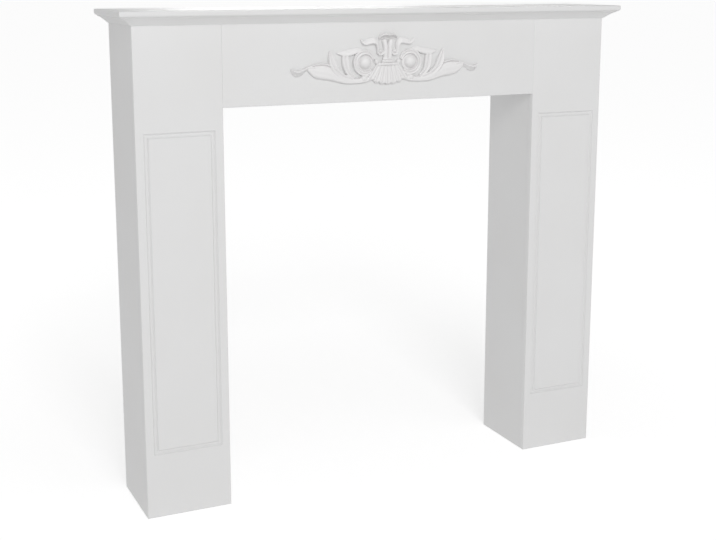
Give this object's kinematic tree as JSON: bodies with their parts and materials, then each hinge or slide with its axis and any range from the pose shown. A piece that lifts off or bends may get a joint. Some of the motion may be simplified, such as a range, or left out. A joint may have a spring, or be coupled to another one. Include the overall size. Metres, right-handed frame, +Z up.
{
  "type": "fireplace mantelpiece",
  "caption": "White painted fireplace surround: box legs with a grooved panel, a frieze with a carved acanthus ornament, and a moulded shelf.",
  "frame": {"origin": "on the floor, midway across the width and midway from the shelf's front edge to the wall side", "axes": "+X to the right as seen from the front, +Y towards the wall, +Z up; the carved front faces -Y"},
  "size_m": [1.104, 0.205, 1],
  "materials": {
    "painted_board": "MDF board sprayed with satin white lacquer",
    "painted_moulding": "milled moulding sprayed with satin white lacquer",
    "painted_carving": "pressed wood-pulp relief under the same satin white lacquer"
  },
  "bodies": {
    "root": {"shelf_board": "painted_board", "crown_front": "painted_moulding", "crown_left": "painted_moulding", "crown_right": "painted_moulding", "frieze_board": "painted_board", "lintel_soffit": "painted_board", "left_leg_front": "painted_board", "left_leg_outer_side": "painted_board", "left_leg_inner_side": "painted_board", "right_leg_front": "painted_board", "right_leg_outer_side": "painted_board", "right_leg_inner_side": "painted_board", "ornament": "painted_carving"}
  },
  "joints": []
}
